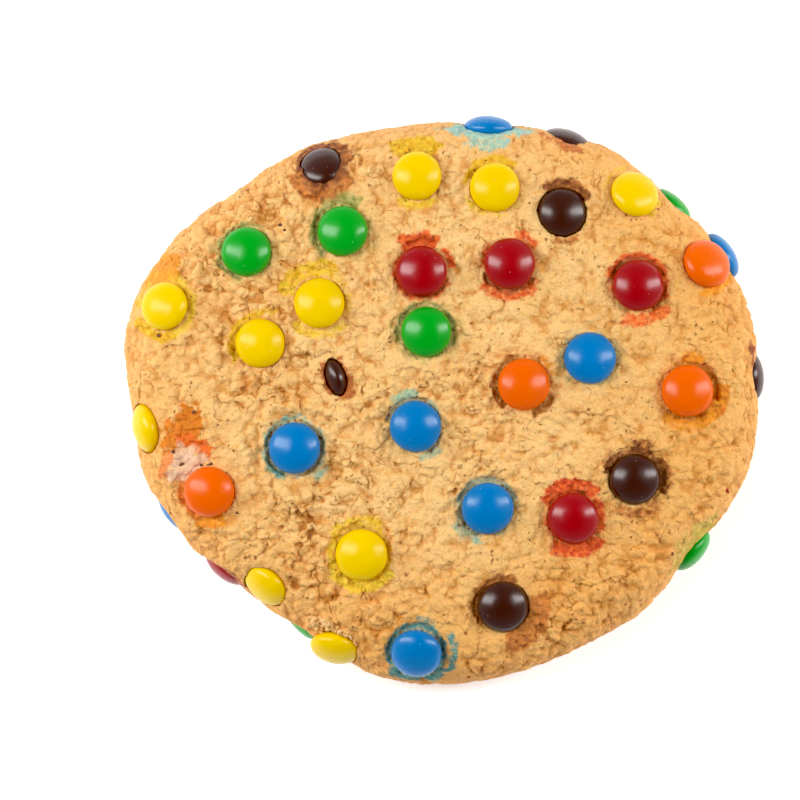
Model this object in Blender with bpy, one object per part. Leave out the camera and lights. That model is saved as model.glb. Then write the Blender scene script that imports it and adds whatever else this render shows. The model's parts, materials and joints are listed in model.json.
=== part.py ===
"""A giant baked cookie with sugar-shelled chocolate candies set in its dough.

Metres, +Z up. The flat underside lies on z = 0 and the origin is at its middle.
Bearings are in degrees, counter-clockwise from +X as seen from above.
"""

import math
import random

import bmesh
import bpy
from mathutils import Vector, noise

# Candies, lentils of nearly one size
CANDY_DIAMETER = 0.0134
CANDY_THICKNESS = 0.0069  # at that diameter, and in proportion at others
CANDY_SEGMENTS = 12
CANDY_RINGS = 6
SOCKET_GAP = 0.0003
CANDY_PROUD = 0.0006  # a candy's middle stands this far above the dough around it
CANDY_SWAY = math.radians(3)  # the most that a candy leans out of square with the dough
SWAY_SEED = 11

# Dough form: a domed top, a round shoulder, a widest level and a tucked-in foot
OUTLINE_STEP = 15  # degrees between the radii below
OUTLINE = (
    0.0844, 0.0850, 0.0840, 0.0815, 0.0806, 0.0770, 0.0748, 0.0751,
    0.0783, 0.0800, 0.0855, 0.0881, 0.0849, 0.0838, 0.0792, 0.0741,
    0.0733, 0.0759, 0.0768, 0.0763, 0.0757, 0.0777, 0.0792, 0.0835,
)
WIDEST_HEIGHT = 0.0095
SHOULDER_RUN = 0.0140
SHOULDER_RISE = 0.0135
DOME_RISE = 0.0040
FOOT_INSET = 0.0050
FLOOR_CUT = 0.0010  # the form runs on this far below the floor and is cut off flat

# Dough relief
NOISE_SEED = 1796098368  # without a seed, the noise vectors would start from the clock
SWELL_SPAN = 0.038
SWELL_HEIGHT = 0.0008
LUMP_SPAN = 0.0105
LUMP_HEIGHT = 0.0011
LUMP_STEP = 0.0005  # how much one lump stands higher or lower than the next
LUMP_WARP = 0.0035
CRAG_PATCH = 0.045  # span of the patches where the lumps part more deeply
RIM_LOW = 0.010  # the lumps fade between these heights, as the dough's side is smoother
RIM_HIGH = 0.022
RIM_SMOOTHNESS = 0.6
FLOOR_FADE = 0.004  # height by which all relief reaches its full depth
WELL_WIDTH = 0.0036  # ring of dipped dough round each candy
WELL_DEPTH = 0.0006
GRID = 92
DOUGH_TRIANGLES_KEPT = 0.25

# Candies on the top: colour, x, y, how far the middle stands above the dough, and diameter
TOP_CANDIES = (
    ("brown", -0.0336, 0.0637, -0.0027, 0.0122),
    ("yellow", -0.0078, 0.0595, CANDY_PROUD, 0.0130),
    ("yellow", 0.0129, 0.0564, CANDY_PROUD, 0.0132),
    ("brown", 0.0310, 0.0499, -0.0017, 0.0132),
    ("yellow", 0.0500, 0.0545, CANDY_PROUD, 0.0130),
    ("orange", 0.0690, 0.0360, CANDY_PROUD, 0.0134),
    ("green", -0.0531, 0.0394, CANDY_PROUD, 0.0132),
    ("green", -0.0275, 0.0448, CANDY_PROUD, 0.0134),
    ("red", -0.0066, 0.0340, CANDY_PROUD, 0.0137),
    ("red", 0.0168, 0.0362, CANDY_PROUD, 0.0136),
    ("red", 0.0510, 0.0304, CANDY_PROUD, 0.0137),
    ("yellow", -0.0748, 0.0249, CANDY_PROUD, 0.0130),
    ("yellow", -0.0337, 0.0257, CANDY_PROUD, 0.0134),
    ("yellow", -0.0494, 0.0151, 0.0, 0.0131),
    ("green", -0.0053, 0.0181, CANDY_PROUD, 0.0134),
    ("blue", 0.0382, 0.0111, CANDY_PROUD, 0.0138),
    ("orange", 0.0206, 0.0041, CANDY_PROUD, 0.0138),
    ("orange", 0.0641, 0.0024, CANDY_PROUD, 0.0138),
    ("blue", -0.0082, -0.0070, CANDY_PROUD, 0.0137),
    ("blue", -0.0402, -0.0127, CANDY_PROUD, 0.0137),
    ("orange", -0.0630, -0.0244, CANDY_PROUD, 0.0135),
    ("blue", 0.0110, -0.0288, CANDY_PROUD, 0.0138),
    ("red", 0.0338, -0.0315, CANDY_PROUD, 0.0137),
    ("brown", 0.0502, -0.0211, 0.0, 0.0135),
    ("yellow", -0.0225, -0.0411, CANDY_PROUD, 0.0138),
    ("brown", 0.0151, -0.0550, 0.0, 0.0137),
    ("blue", -0.0079, -0.0673, CANDY_PROUD, 0.0136),
)

# Candies on their edge: colour, bearing and reach of the middle, height, bearing it faces, tilt
EDGE_CANDIES = (
    ("brown", 169.1, 0.0306, 0.0212, 197, 76),
    ("blue", 81.1, 0.0739, 0.0120, 88, 87),
    ("brown", 64.9, 0.0766, 0.0105, 73, 80),
    ("green", 40.4, 0.0797, 0.0090, 46, 96),
    ("blue", 27.6, 0.0839, 0.0090, 33, 92),
    ("brown", 4.5, 0.0826, 0.0090, 6, 90),
    ("green", 328.6, 0.0777, 0.0073, 319, 90),
    ("yellow", 185.4, 0.0806, 0.0160, 191, 75),
    ("blue", 202.6, 0.0783, 0.0073, 220, 90),
    ("red", 217.4, 0.0741, 0.0080, 233, 90),
    ("yellow", 225.7, 0.0690, 0.0176, 226, 60),
    ("green", 237.6, 0.0705, 0.0072, 226, 92),
    ("yellow", 245.9, 0.0728, 0.0158, 258, 62),
)

# Colour and roughness of each finish
FINISHES = {
    "dough": ((0.76, 0.50, 0.22), 0.9),
    "yellow": ((0.93, 0.68, 0.01), 0.28),
    "red": ((0.35, 0.01, 0.02), 0.28),
    "blue": ((0.01, 0.21, 0.55), 0.28),
    "green": ((0.01, 0.36, 0.05), 0.28),
    "orange": ((0.88, 0.16, 0.01), 0.28),
    "brown": ((0.08, 0.03, 0.02), 0.28),
}


def finish(name):
    """The Principled material of one finish, made once."""
    material = bpy.data.materials.get(name)
    if material is None:
        colour, roughness = FINISHES[name]
        material = bpy.data.materials.new(name)
        material.use_nodes = True
        shader = material.node_tree.nodes["Principled BSDF"]
        shader.inputs["Base Color"].default_value = (*colour, 1)
        shader.inputs["Roughness"].default_value = roughness
        shader.inputs["Metallic"].default_value = 0
        material.diffuse_color = (*colour, 1)
    return material


def smooth_step(low, high, value):
    share = min(max((value - low) / (high - low), 0), 1)
    return share * share * (3 - 2 * share)


def widest_radius(bearing):
    """Radius of the outline at a bearing, on a smooth curve through the OUTLINE radii."""
    place = bearing / OUTLINE_STEP
    first = math.floor(place)
    t = place - first
    before, start, end, after = (OUTLINE[(first + i) % len(OUTLINE)] for i in (-1, 0, 1, 2))
    bend = 2 * before - 5 * start + 4 * end - after
    return start + 0.5 * t * (end - before + t * (bend + t * (3 * (start - end) + after - before)))


def top_height(x, y):
    """Height of the smooth dough form above a place inside its outline."""
    radius = math.hypot(x, y)
    widest = widest_radius(math.degrees(math.atan2(y, x)))
    out = max(0, radius - (widest - SHOULDER_RUN)) / SHOULDER_RUN
    shoulder = SHOULDER_RISE * math.sqrt(max(0, 1 - out * out))
    return WIDEST_HEIGHT + shoulder + DOME_RISE * (1 - (radius / widest) ** 2)


def top_normal(x, y):
    step = 0.0005
    along_x = Vector((2 * step, 0, top_height(x + step, y) - top_height(x - step, y)))
    along_y = Vector((0, 2 * step, top_height(x, y + step) - top_height(x, y - step)))
    return along_x.cross(along_y).normalized()


def dough_form(across, up):
    """Point of the smooth dough form for a place in the square from -1 to 1.

    The square's middle is the top's middle, and its border is the underside's edge.
    """
    run = max(abs(across), abs(up))
    if run == 0:
        return Vector((0, 0, WIDEST_HEIGHT + SHOULDER_RISE + DOME_RISE))
    if abs(across) > abs(up):
        bearing = 45 * up / across + (180 if across < 0 else 0)
    else:
        bearing = 90 - 45 * across / up + (180 if up < 0 else 0)
    widest = widest_radius(bearing)
    face = widest - SHOULDER_RUN
    shoulder = math.pi / 4 * (SHOULDER_RUN + SHOULDER_RISE)
    drop = WIDEST_HEIGHT + FLOOR_CUT
    foot = math.pi / 4 * (FOOT_INSET + drop)
    along = run * (face + shoulder + foot)
    if along < face:
        radius, height = along, WIDEST_HEIGHT + SHOULDER_RISE
    elif along < face + shoulder:
        turn = math.pi / 2 * (along - face) / shoulder
        radius = face + SHOULDER_RUN * math.sin(turn)
        height = WIDEST_HEIGHT + SHOULDER_RISE * math.cos(turn)
    else:
        turn = math.pi / 2 * (along - face - shoulder) / foot
        radius = widest - FOOT_INSET * (1 - math.cos(turn))
        height = WIDEST_HEIGHT - drop * math.sin(turn)
    if height > WIDEST_HEIGHT:
        height += DOME_RISE * (1 - (radius / widest) ** 2)
    angle = math.radians(bearing)
    return Vector((radius * math.cos(angle), radius * math.sin(angle), height))


def swell(place):
    """The slow rise and fall of the dough, which the candies ride on."""
    return SWELL_HEIGHT * noise.noise(place / SWELL_SPAN)


def lumps(place):
    """The crackled crust: plates with soft edges, parted more deeply in some patches."""
    warp = noise.noise_vector(place / LUMP_SPAN) * LUMP_WARP
    (near, next_near, *_), (centre, *_) = noise.voronoi((place + warp) / LUMP_SPAN)
    parting = 1 - smooth_step(0, 0.45, next_near - near)
    deep = smooth_step(-0.25, 0.35, noise.noise(place / CRAG_PATCH + Vector((3.1, 0, 0))))
    step = LUMP_STEP * noise.cell(centre * 7.3)
    return step - LUMP_HEIGHT * parting * (0.35 + 0.65 * deep)


def relief(place, candies):
    """How far the dough stands out of its smooth form at a place on it."""
    nearest = min((place - middle).length - diameter / 2 for _, middle, _, diameter in candies)
    clear = smooth_step(0, WELL_WIDTH, nearest)
    above_floor = smooth_step(0, FLOOR_FADE, place.z)
    above_rim = smooth_step(RIM_LOW, RIM_HIGH, place.z)
    crackle = lumps(place) * (1 - RIM_SMOOTHNESS * (1 - above_rim))
    return swell(place) + above_floor * (clear * crackle - (1 - clear) * WELL_DEPTH)


def placed_candies():
    """Colour, middle, axis and diameter of every candy, each set to the dough it lies in."""
    sway = random.Random(SWAY_SEED)
    candies = []
    for colour, x, y, proud, diameter in TOP_CANDIES:
        normal = top_normal(x, y)
        surface = Vector((x, y, top_height(x, y)))
        axis = normal + Vector([math.tan(CANDY_SWAY) * sway.uniform(-1, 1) for _ in range(3)])
        middle = surface + normal * (swell(surface) + proud)
        candies.append((colour, middle, axis.normalized(), diameter))
    for colour, bearing, reach, height, faces, tilt in EDGE_CANDIES:
        place, facing, slope = (math.radians(angle) for angle in (bearing, faces, tilt))
        middle = Vector((reach * math.cos(place), reach * math.sin(place), height))
        level = math.sin(slope)
        axis = Vector((level * math.cos(facing), level * math.sin(facing), math.cos(slope)))
        candies.append((colour, middle, axis, CANDY_DIAMETER))
    return candies


def lentil_mesh(name, grown=0.0):
    """A candy's oblate body, flat way up, or its socket when grown by the gap."""
    bm = bmesh.new()
    bmesh.ops.create_uvsphere(bm, u_segments=CANDY_SEGMENTS, v_segments=CANDY_RINGS, radius=1)
    wide = CANDY_DIAMETER / 2 + grown
    thick = CANDY_THICKNESS / 2 + grown
    bmesh.ops.scale(bm, vec=(wide, wide, thick), verts=bm.verts)
    mesh = bpy.data.meshes.new(name)
    bm.to_mesh(mesh)
    bm.free()
    mesh.shade_smooth()
    return mesh


def place_on_axis(obj, middle, axis, diameter):
    obj.scale = (diameter / CANDY_DIAMETER,) * 3
    obj.location = middle
    obj.rotation_mode = "QUATERNION"
    obj.rotation_quaternion = axis.to_track_quat("Z", "Y")


def build_dough(candies, parts, sockets):
    """One crackled body of dough, with a socket cut for each candy and a flat underside."""
    bm = bmesh.new()
    bmesh.ops.create_grid(bm, x_segments=GRID, y_segments=GRID, size=1)
    for vert in bm.verts:
        vert.co = dough_form(vert.co.x, vert.co.y)
    bm.normal_update()
    rises = [relief(vert.co, candies) for vert in bm.verts]
    for vert, rise in zip(bm.verts, rises):
        vert.co += vert.normal * rise
    border = [edge for edge in bm.edges if edge.is_boundary]
    bmesh.ops.holes_fill(bm, edges=border)
    bmesh.ops.recalc_face_normals(bm, faces=bm.faces)
    mesh = bpy.data.meshes.new("dough")
    bm.to_mesh(mesh)
    bm.free()
    mesh.shade_smooth()
    mesh.materials.append(finish("dough"))
    dough = bpy.data.objects.new("dough", mesh)
    parts.objects.link(dough)
    thin = dough.modifiers.new("Thin", "DECIMATE")
    thin.ratio = DOUGH_TRIANGLES_KEPT
    cut = dough.modifiers.new("Sockets", "BOOLEAN")
    cut.operation = "DIFFERENCE"
    cut.operand_type = "COLLECTION"
    cut.collection = sockets
    return dough


def build_candies(candies, parts, sockets):
    """A lentil and its socket cutter for each candy, named by colour and number."""
    socket_mesh = lentil_mesh("socket", SOCKET_GAP)
    shapes = {}
    counts = {}
    for colour, middle, axis, diameter in candies:
        if colour not in shapes:
            shapes[colour] = lentil_mesh(f"candy_{colour}")
            shapes[colour].materials.append(finish(colour))
        counts[colour] = counts.get(colour, 0) + 1
        name = f"candy_{colour}_{counts[colour]}"
        candy = bpy.data.objects.new(name, shapes[colour])
        place_on_axis(candy, middle, axis, diameter)
        parts.objects.link(candy)
        socket = add_cutter(f"socket_{name}", socket_mesh, sockets)
        place_on_axis(socket, middle, axis, diameter)


def add_cutter(name, mesh, sockets):
    cutter = bpy.data.objects.new(name, mesh)
    cutter.hide_render = True
    cutter.display_type = "WIRE"
    sockets.objects.link(cutter)
    return cutter


def build_floor_cutter(sockets):
    """The slab under the floor that leaves the cookie's underside flat."""
    bm = bmesh.new()
    bmesh.ops.create_cube(bm, size=1)
    side = 2.4 * max(OUTLINE)
    deep = 10 * FLOOR_CUT
    bmesh.ops.scale(bm, vec=(side, side, deep), verts=bm.verts)
    bmesh.ops.translate(bm, vec=(0, 0, -deep / 2), verts=bm.verts)
    mesh = bpy.data.meshes.new("floor_cut")
    bm.to_mesh(mesh)
    bm.free()
    add_cutter("floor_cut", mesh, sockets)


def new_collection(name):
    collection = bpy.data.collections.new(name)
    bpy.context.scene.collection.children.link(collection)
    return collection


def main():
    noise.seed_set(NOISE_SEED)
    for obj in list(bpy.data.objects):
        bpy.data.objects.remove(obj)
    parts = new_collection("giant_candy_cookie")
    sockets = new_collection("cutters")
    sockets.hide_render = True
    candies = placed_candies()
    build_candies(candies, parts, sockets)
    build_floor_cutter(sockets)
    build_dough(candies, parts, sockets)


main()
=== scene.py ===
import json
import math
import random
from functools import partial

import bmesh
import bpy
import numpy as np
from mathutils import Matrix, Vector, noise

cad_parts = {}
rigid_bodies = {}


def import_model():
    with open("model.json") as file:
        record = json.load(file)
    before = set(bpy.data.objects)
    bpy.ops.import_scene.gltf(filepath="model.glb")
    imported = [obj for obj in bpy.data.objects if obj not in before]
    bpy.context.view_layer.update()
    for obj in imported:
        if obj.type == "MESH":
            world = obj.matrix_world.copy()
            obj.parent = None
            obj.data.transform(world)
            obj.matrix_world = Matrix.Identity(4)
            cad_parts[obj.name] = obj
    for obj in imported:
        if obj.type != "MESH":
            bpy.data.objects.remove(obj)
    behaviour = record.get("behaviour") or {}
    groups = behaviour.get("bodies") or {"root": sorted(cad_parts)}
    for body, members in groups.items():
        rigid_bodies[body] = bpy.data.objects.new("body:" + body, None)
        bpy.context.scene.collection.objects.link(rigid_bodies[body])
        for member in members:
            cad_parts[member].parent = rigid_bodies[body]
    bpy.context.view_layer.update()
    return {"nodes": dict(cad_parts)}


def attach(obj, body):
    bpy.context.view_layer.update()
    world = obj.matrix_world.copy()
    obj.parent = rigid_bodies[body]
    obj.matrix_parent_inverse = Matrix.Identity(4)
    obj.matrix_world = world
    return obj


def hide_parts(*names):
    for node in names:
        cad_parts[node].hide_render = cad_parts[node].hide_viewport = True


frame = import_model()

# Camera.
# The picture looks straight down on the cookie from a little over a metre, with the cookie
# right of the middle of the frame.
PICTURE_PIXELS = 800
CAMERA_HEIGHT = 1.127
CAMERA_X = -0.01226
CANDY_LEVEL = 0.027
PIXEL_AT_CANDIES = 0.0002653  # what one pixel of the picture spans at the candies' height
SENSOR_MM = 36
BLACK_LEVEL = 0.009  # the picture's darkest tones are clipped a little


def placed(name, data):
    """A new object in the scene."""
    made = bpy.data.objects.new(name, data)
    bpy.context.scene.collection.objects.link(made)
    return made


view_width = PICTURE_PIXELS * PIXEL_AT_CANDIES
camera_data = bpy.data.cameras.new("overhead_camera")
camera_data.sensor_width = SENSOR_MM
camera_data.lens = SENSOR_MM * (CAMERA_HEIGHT - CANDY_LEVEL) / view_width
camera = placed("overhead_camera", camera_data)
camera.location = (CAMERA_X, 0, CAMERA_HEIGHT)
bpy.context.scene.camera = camera
view = bpy.context.scene.view_settings
view.view_transform = "Standard"
view.use_curve_mapping = True
view.curve_mapping.black_level = (BLACK_LEVEL, BLACK_LEVEL, BLACK_LEVEL)
view.curve_mapping.update()


# Candies.
# Each is a chocolate lentil in a hard sugar shell, panned in dyed syrup until it is smooth and
# then polished with wax. They were pressed into the raw dough, so each keeps the place it baked in.
SHELL_HEX = {
    "yellow": "F8D000",
    "red": "A60412",
    "blue": "007CC4",
    "green": "00A81E",
    "orange": "F46602",
    "brown": "40190C",
}
SHELL_GLOSS = {"yellow": 0.28, "orange": 0.36, "blue": 0.44, "green": 0.50, "red": 0.60, "brown": 0.62}
SHELL_THICKNESS = 0.515  # share of a candy's own diameter
SHELL_WOBBLE = 0.00016  # how far panning leaves a shell out of true
SHELL_SHAPE = {"Thickness": SHELL_THICKNESS, "Wobble": SHELL_WOBBLE, "Seed": 3}
SHELL_WOBBLE_SPAN = 0.0060
RAGGED_SPAN = 0.0020
SHELL_ROUGHNESS = 0.26
FAR_BELOW = -0.05  # the candies face away from a point this far under the cookie
SHELL_SEGMENTS = 64
SHELL_RINGS = 32
SHELL_CLOUDS = 260  # to the metre: soft clouds in the dye, 4 mm across
SHELL_SPECKS = 420  # cells to the metre, each with a pale speck 0.3 mm wide
SHELL_PEEL = 900  # to the metre: the faint orange peel of the panned sugar, 1 mm across


def linear(hex_colour):
    """An sRGB hex colour as linear red, green, blue and alpha."""
    channels = [int(hex_colour[i : i + 2], 16) / 255 for i in (0, 2, 4)]
    return (*[c / 12.92 if c <= 0.04045 else ((c + 0.055) / 1.055) ** 2.4 for c in channels], 1)


def feed(fed, inputs):
    """Gives inputs of a node a value, an output or another node's first output each."""
    for key, value in inputs.items():
        if isinstance(value, bpy.types.Node):
            value = value.outputs[0]
        if isinstance(value, bpy.types.NodeSocket):
            fed.id_data.links.new(value, fed.inputs[key])
        else:
            fed.inputs[key].default_value = value


def node(tree, kind, inputs=(), **settings):
    """Adds a node to a tree, with its settings and what feeds its inputs."""
    made = tree.nodes.new(kind)
    for name, value in settings.items():
        setattr(made, name, value)
    feed(made, dict(inputs))
    return made


def geometry_tree(name, sizes):
    """A Geometry Nodes tree with a named input for each size, and its input and output nodes."""
    tree = bpy.data.node_groups.new(name, "GeometryNodeTree")
    tree.interface.new_socket("Geometry", in_out="INPUT", socket_type="NodeSocketGeometry")
    tree.interface.new_socket("Geometry", in_out="OUTPUT", socket_type="NodeSocketGeometry")
    for label, value in sizes.items():
        kind = "NodeSocketInt" if isinstance(value, int) else "NodeSocketFloat"
        tree.interface.new_socket(label, in_out="INPUT", socket_type=kind).default_value = value
    return tree, node(tree, "NodeGroupInput").outputs, node(tree, "NodeGroupOutput")


def grown_by_nodes(name, mesh, tree, sizes):
    """The plain mesh object that the tree makes of a mesh, with the sizes set on its modifier."""
    source = placed(name, mesh)
    modifier = source.modifiers.new("shape", "NODES")
    modifier.node_group = tree
    for item in tree.interface.items_tree:
        if item.item_type == "SOCKET" and item.in_out == "INPUT" and item.name in sizes:
            modifier[item.identifier] = sizes[item.name]
    evaluated = source.evaluated_get(bpy.context.evaluated_depsgraph_get())
    made = bpy.data.meshes.new_from_object(evaluated)
    bpy.data.objects.remove(source)
    return placed(name, made)


def read_vectors(items, field):
    """What a mesh's points, or an attribute's values, hold in a field, one row each."""
    values = np.empty(len(items) * 3)
    items.foreach_get(field, values)
    return values.reshape(-1, 3)


def store(mesh, name, values, kind="FLOAT", field="value"):
    """Keeps a value for each point of a mesh as an attribute."""
    mesh.attributes.new(name, kind, "POINT").data.foreach_set(field, np.ravel(values))


def candy_place(name):
    """Middle, outward axis and diameter of a candy, from its solid in the frame."""
    points = read_vectors(frame["nodes"][name].data.vertices, "co")
    middle = points.mean(axis=0)
    _, directions = np.linalg.eigh(np.cov((points - middle).T))
    axis = directions[:, 0]
    outward = middle - np.array([0, 0, FAR_BELOW])
    diameter = 2 * np.linalg.norm(points - middle, axis=1).max()
    return middle, axis * np.sign(axis @ outward), diameter


def candy_points(names):
    """A mesh with a point in the middle of each candy, which knows its axis and diameter."""
    places = [candy_places[name] for name in names]
    points = bpy.data.meshes.new("candy_points")
    points.from_pydata([middle for middle, _, _ in places], [], [])
    store(points, "axis", [axis for _, axis, _ in places], "FLOAT_VECTOR", "vector")
    store(points, "diameter", [diameter for _, _, diameter in places])
    return points


def new_material(name):
    """A material, what adds a node to it, and its shader."""
    material = bpy.data.materials.new(name)
    material.use_nodes = True
    tree = material.node_tree
    return material, partial(node, tree), tree.nodes["Principled BSDF"]


def shell_material(colour, hex_colour):
    """Polished sugar shell: a smooth dyed surface, low gloss from its wax, faintly uneven."""
    material, add, shader = new_material(f"polished_sugar_shell_{colour}")
    place = add("ShaderNodeTexCoord").outputs["Object"]
    cloud = add("ShaderNodeTexNoise", {"Vector": place, "Scale": SHELL_CLOUDS, "Detail": 3})
    base = linear(hex_colour)
    darker = (*[0.86 * c for c in base[:3]], 1)
    clouded = add("ShaderNodeMix", {"Factor": cloud, 6: darker, 7: base}, data_type="RGBA")
    speck = add("ShaderNodeTexVoronoi", {"Vector": place, "Scale": SHELL_SPECKS})
    speck_edge = add("ShaderNodeMapRange", {"Value": speck, 1: 0.05, 2: 0.09, 3: 0.5, 4: 0})
    paler = (*[0.75 * c + 0.25 for c in base[:3]], 1)
    tint = add(
        "ShaderNodeMix",
        {"Factor": speck_edge, 6: clouded.outputs[2], 7: paler},
        data_type="RGBA",
    )
    feed(shader, {"Base Color": tint.outputs[2], "Roughness": SHELL_ROUGHNESS})
    peel = add("ShaderNodeTexNoise", {"Vector": place, "Scale": SHELL_PEEL, "Detail": 2})
    bump = add("ShaderNodeBump", {"Height": peel, "Strength": 0.08, "Distance": 0.0002})
    feed(shader, {"Specular IOR Level": SHELL_GLOSS[colour], "Normal": bump})
    return material


def lentil_tree():
    """Sets a lentil on each point, square to the point's axis, and puts each a little out of true."""
    tree, sizes, end = geometry_tree(
        "panned_lentils",
        {"Thickness": 0.5, "Growth": 0.0, "Wobble": 0.0001, "Raggedness": 0.0, "Seed": 0},
    )
    add = partial(node, tree)
    ball = add(
        "GeometryNodeMeshUVSphere",
        {"Segments": SHELL_SEGMENTS, "Rings": SHELL_RINGS, "Radius": 0.5},
    )
    diameter = add("GeometryNodeInputNamedAttribute", {"Name": "diameter"}, data_type="FLOAT")
    wide = add("ShaderNodeMath", {0: diameter, 1: sizes["Growth"]}, operation="ADD")
    thick = add(
        "ShaderNodeMath",
        {0: diameter, 1: sizes["Thickness"], 2: sizes["Growth"]},
        operation="MULTIPLY_ADD",
    )
    size = add("ShaderNodeCombineXYZ", {0: wide, 1: wide, 2: thick})
    axis = add("GeometryNodeInputNamedAttribute", {"Name": "axis"}, data_type="FLOAT_VECTOR")
    turn = add("FunctionNodeAlignRotationToVector", {"Vector": axis}, axis="Z")
    lentils = add(
        "GeometryNodeInstanceOnPoints",
        {"Points": sizes["Geometry"], "Instance": ball, "Rotation": turn, "Scale": size},
    )
    real = add("GeometryNodeRealizeInstances", {"Geometry": lentils})
    place = add("GeometryNodeInputPosition")
    lump = add(
        "ShaderNodeTexNoise",
        {"Vector": place, "W": sizes["Seed"], "Scale": 1 / SHELL_WOBBLE_SPAN, "Detail": 1},
        noise_dimensions="4D",
    )
    swing = add("ShaderNodeMapRange", {"Value": lump, 1: 0.0, 2: 1.0, 3: -1.0, 4: 1.0})
    bulge = add("ShaderNodeMath", {0: swing, 1: sizes["Wobble"]}, operation="MULTIPLY")
    fray = add("ShaderNodeTexNoise", {"Vector": place, "Scale": 1 / RAGGED_SPAN, "Detail": 2})
    rise = add("ShaderNodeMath", {0: fray, 1: sizes["Raggedness"], 2: bulge}, operation="MULTIPLY_ADD")
    normal = add("GeometryNodeInputNormal")
    offset = add("ShaderNodeVectorMath", {0: normal, "Scale": rise}, operation="SCALE")
    moved = add("GeometryNodeSetPosition", {"Geometry": real, "Offset": offset})
    smooth = add("GeometryNodeSetShadeSmooth", {"Geometry": moved})
    dressed = add("GeometryNodeSetMaterial", {"Geometry": smooth})
    feed(end, {"Geometry": dressed})
    return tree, dressed


candy_names = sorted(name for name in frame["nodes"] if name.startswith("candy_"))
candy_places = {name: candy_place(name) for name in candy_names}
lentils, lentil_dress = lentil_tree()
candy_seats = {}
for colour, hex_colour in SHELL_HEX.items():
    names = [name for name in candy_names if name.startswith(f"candy_{colour}_")]
    candy_seats[colour] = candy_points(names)
    feed(lentil_dress, {"Material": shell_material(colour, hex_colour)})
    candies = grown_by_nodes(f"candies_{colour}", candy_seats[colour], lentils, SHELL_SHAPE)
    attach(candies, "root")
    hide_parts(*names)


# Dough.
# One round of sugar-cookie dough, baked on a flat sheet: it spread, domed and crackled as it
# dried, and the candies' dye bled into the crumb round them.
OUTLINE_STEP = 15
OUTLINE = (
    0.0844, 0.0850, 0.0840, 0.0815, 0.0806, 0.0770, 0.0748, 0.0751,
    0.0783, 0.0800, 0.0855, 0.0881, 0.0849, 0.0838, 0.0792, 0.0741,
    0.0733, 0.0759, 0.0768, 0.0763, 0.0757, 0.0777, 0.0792, 0.0835,
)
WIDEST_HEIGHT = 0.0095
SHOULDER_RUN = 0.0140
SHOULDER_RISE = 0.0135
DOME_RISE = 0.0040
FOOT_INSET = 0.0050
SWELL_SPAN = 0.038
SWELL_HEIGHT = 0.0008
LUMP_SPAN = 0.0105
LUMP_HEIGHT = 0.0011
LUMP_STEP = 0.0005
LUMP_WARP = 0.0035
CRAG_PATCH = 0.045
CRAG_START = Vector((3.1, 0, 0))  # where in the noise the craggy patches are read
CRAG_SLANT = 3.0  # a metre: the crags grow toward the lower left
WELL_WIDTH = 0.0036
WELL_DEPTH = 0.0006
CRUST_GRID = 470
CRUST_TRIANGLES = 188000
SOCKET_GAP = 0.00005
SOCKET_RAGGEDNESS = 0.00055
RIM_LOW = 0.010  # the lumps fade between these heights, as the dough's side is smoother
RIM_HIGH = 0.022
RIM_SMOOTHNESS = 0.6
FLOOR_FADE = 0.004
DYE_DROP = 0.012  # how far down the side the dye reaches
PALE_MIDDLE = (-0.014, 0.016)  # the crust is palest round here and more golden away from it
PALE_REACH = 0.045
GOLDEN_REACH = 0.086
LIFTED = 0.0004  # the underside, below this height, stays flat
STRAYED = 0.003  # an old place this far off belongs to a socket's cut face
NOISE_SEED = 1796098368  # the part's own, so that the lumps are the solid's

# Span and throw of the noise that frays the edges of gaps, creases and dye
GAP_RAGS = (0.0022, 0.0006)
CREASE_KINKS = (0.0019, 0.0010)
DYE_FRAYS = (0.0028, 0.0009)
DYE_TATTERS = (0.0010, 0.0004)
CREASE_BREAKS_SPAN = 0.0015
CREASE_FULL_SHADE_DEPTH = 0.0006  # creases at least this deep get the painted crease shade in full
GAP_SOFTNESS = 0.0004
TORN_SOFTNESS = 0.0003
STAIN_SOFTNESS = 0.0009
DYE_BLOTCH_SPAN = 0.0011
STAIN_STREAK_SPAN = 0.0024

# How many of each pattern's cells or waves go to the metre
PLATES = 230  # plates of crust, 4.3 mm across
BEADS = 380  # beads of crumb, 2.6 mm
WANDER = 210  # bends that keep the plates from being regular, 4.8 mm
WANDER_THROW = 0.0034
SMOOTHED = 150  # parts where the plates run together, 6.7 mm
SHELVES = 85  # low ledges, 12 mm
CRACKED = 240  # parts where the seams are open, 4.2 mm
GRAIN = 400  # soft unevenness of the mesh, 2.5 mm
BROAD = 60  # drifts of shade, 17 mm
CURDS = 380  # buttery patches, 2.6 mm
MOTTLE = 700  # speckle in the dye, 1.4 mm
FLECKS = 1500  # sugar and flour flecks, 0.7 mm
PITS = 700  # cells with a pinhole in some of them, 1.4 mm
PIT_PATCHES = 150  # where the pinholes come, 6.7 mm
PIT_KINKS = 1200  # dents in the pinholes' edges, 0.8 mm
PIT_KINK_THROW = 0.0012
GRIT = 1300  # tooth of the dry crust, 0.8 mm, coarser than the real one so that it shows

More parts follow.
